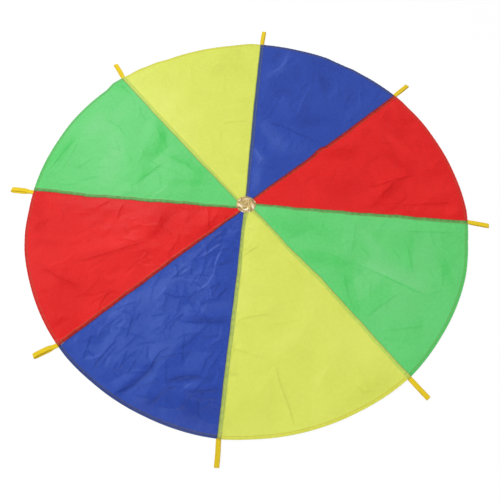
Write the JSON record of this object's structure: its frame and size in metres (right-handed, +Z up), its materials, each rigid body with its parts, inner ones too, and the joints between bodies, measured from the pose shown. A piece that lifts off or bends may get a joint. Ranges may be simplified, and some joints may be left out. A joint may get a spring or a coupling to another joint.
{
  "type": "play parachute",
  "caption": "Round cloth play parachute laid flat: coloured gores with felled seams and a turned hem, webbing hand loops at the seams and a gathered cap at the hub. It folds in half.",
  "frame": {"origin": "on the floor under the hub, where the seams cross", "axes": "+Z up from the floor, +X along the right-hand seam, +Y away from the viewer along the far seam"},
  "size_m": [2.2099, 2.2097, 0.0108],
  "materials": {
    "cloth_red": "smooth coated nylon taffeta, slight sheen",
    "cloth_blue": "smooth coated nylon taffeta, slight sheen",
    "cloth_yellow": "smooth coated nylon taffeta, slight sheen",
    "cloth_green": "smooth coated nylon taffeta, slight sheen",
    "webbing": "woven polypropylene webbing, matt",
    "hub_gold": "gathered shiny gold cloth"
  },
  "bodies": {
    "far_half": {"gore_1_red": "cloth_red", "hem_1": "cloth_red", "gore_2_blue": "cloth_blue", "hem_2": "cloth_blue", "gore_3_yellow": "cloth_yellow", "hem_3": "cloth_yellow", "gore_4_green": "cloth_green", "hem_4": "cloth_green", "seam_2": "cloth_blue", "handle_2_tail": "webbing", "seam_3": "cloth_yellow", "handle_3_tail": "webbing", "seam_4": "cloth_green", "handle_4_tail": "webbing", "seam_5": "cloth_red", "handle_5_tail": "webbing", "hub_cap_far_half": "hub_gold"},
    "near_half": {"gore_5_red": "cloth_red", "hem_5": "cloth_red", "gore_6_blue": "cloth_blue", "hem_6": "cloth_blue", "gore_7_yellow": "cloth_yellow", "hem_7": "cloth_yellow", "gore_8_green": "cloth_green", "hem_8": "cloth_green", "seam_1": "cloth_red", "handle_1_tail": "webbing", "seam_6": "cloth_blue", "handle_6_tail": "webbing", "seam_7": "cloth_blue", "handle_7_tail": "webbing", "seam_8": "cloth_green", "handle_8_tail": "webbing", "hub_cap_near_half": "hub_gold"},
    "handle_1": {"handle_1_loop": "webbing"},
    "handle_2": {"handle_2_loop": "webbing"},
    "handle_3": {"handle_3_loop": "webbing"},
    "handle_4": {"handle_4_loop": "webbing"},
    "handle_5": {"handle_5_loop": "webbing"},
    "handle_6": {"handle_6_loop": "webbing"},
    "handle_7": {"handle_7_loop": "webbing"},
    "handle_8": {"handle_8_loop": "webbing"}
  },
  "joints": [
    {"name": "half_fold", "type": "hinge", "parent": "far_half", "child": "near_half", "pos_m": [0, 0, 0.013], "axis": [-1, 0, 0], "range_deg": [0, 179.5]},
    {"name": "handle_1_swing", "type": "hinge", "parent": "near_half", "child": "handle_1", "pos_m": [1.0045, -0.0102, 0.0012], "axis": [0.1392, 0.9903, 0], "range_deg": [-135, 0]},
    {"name": "handle_2_swing", "type": "hinge", "parent": "far_half", "child": "handle_2", "pos_m": [0.7175, 0.70308, 0.0012], "axis": [-0.7314, 0.682, 0], "range_deg": [-135, 0]},
    {"name": "handle_3_swing", "type": "hinge", "parent": "far_half", "child": "handle_3", "pos_m": [0.0102, 1.0045, 0.0012], "axis": [-0.9976, 0.0698, 0], "range_deg": [-135, 0]},
    {"name": "handle_4_swing", "type": "hinge", "parent": "far_half", "child": "handle_4", "pos_m": [-0.70308, 0.7175, 0.0012], "axis": [-0.8192, -0.5736, 0], "range_deg": [-135, 0]},
    {"name": "handle_5_swing", "type": "hinge", "parent": "far_half", "child": "handle_5", "pos_m": [-1.0045, 0.0102, 0.0012], "axis": [-0.0872, -0.9962, 0], "range_deg": [-135, 0]},
    {"name": "handle_6_swing", "type": "hinge", "parent": "near_half", "child": "handle_6", "pos_m": [-0.7175, -0.70308, 0.0012], "axis": [0.5299, -0.848, 0], "range_deg": [-135, 0]},
    {"name": "handle_7_swing", "type": "hinge", "parent": "near_half", "child": "handle_7", "pos_m": [-0.0161, -1.00442, 0.0012], "axis": [0.9997, 0.0262, 0], "range_deg": [-135, 0]},
    {"name": "handle_8_swing", "type": "hinge", "parent": "near_half", "child": "handle_8", "pos_m": [0.70308, -0.7175, 0.0012], "axis": [0.6947, 0.7193, 0], "range_deg": [-135, 0]}
  ]
}
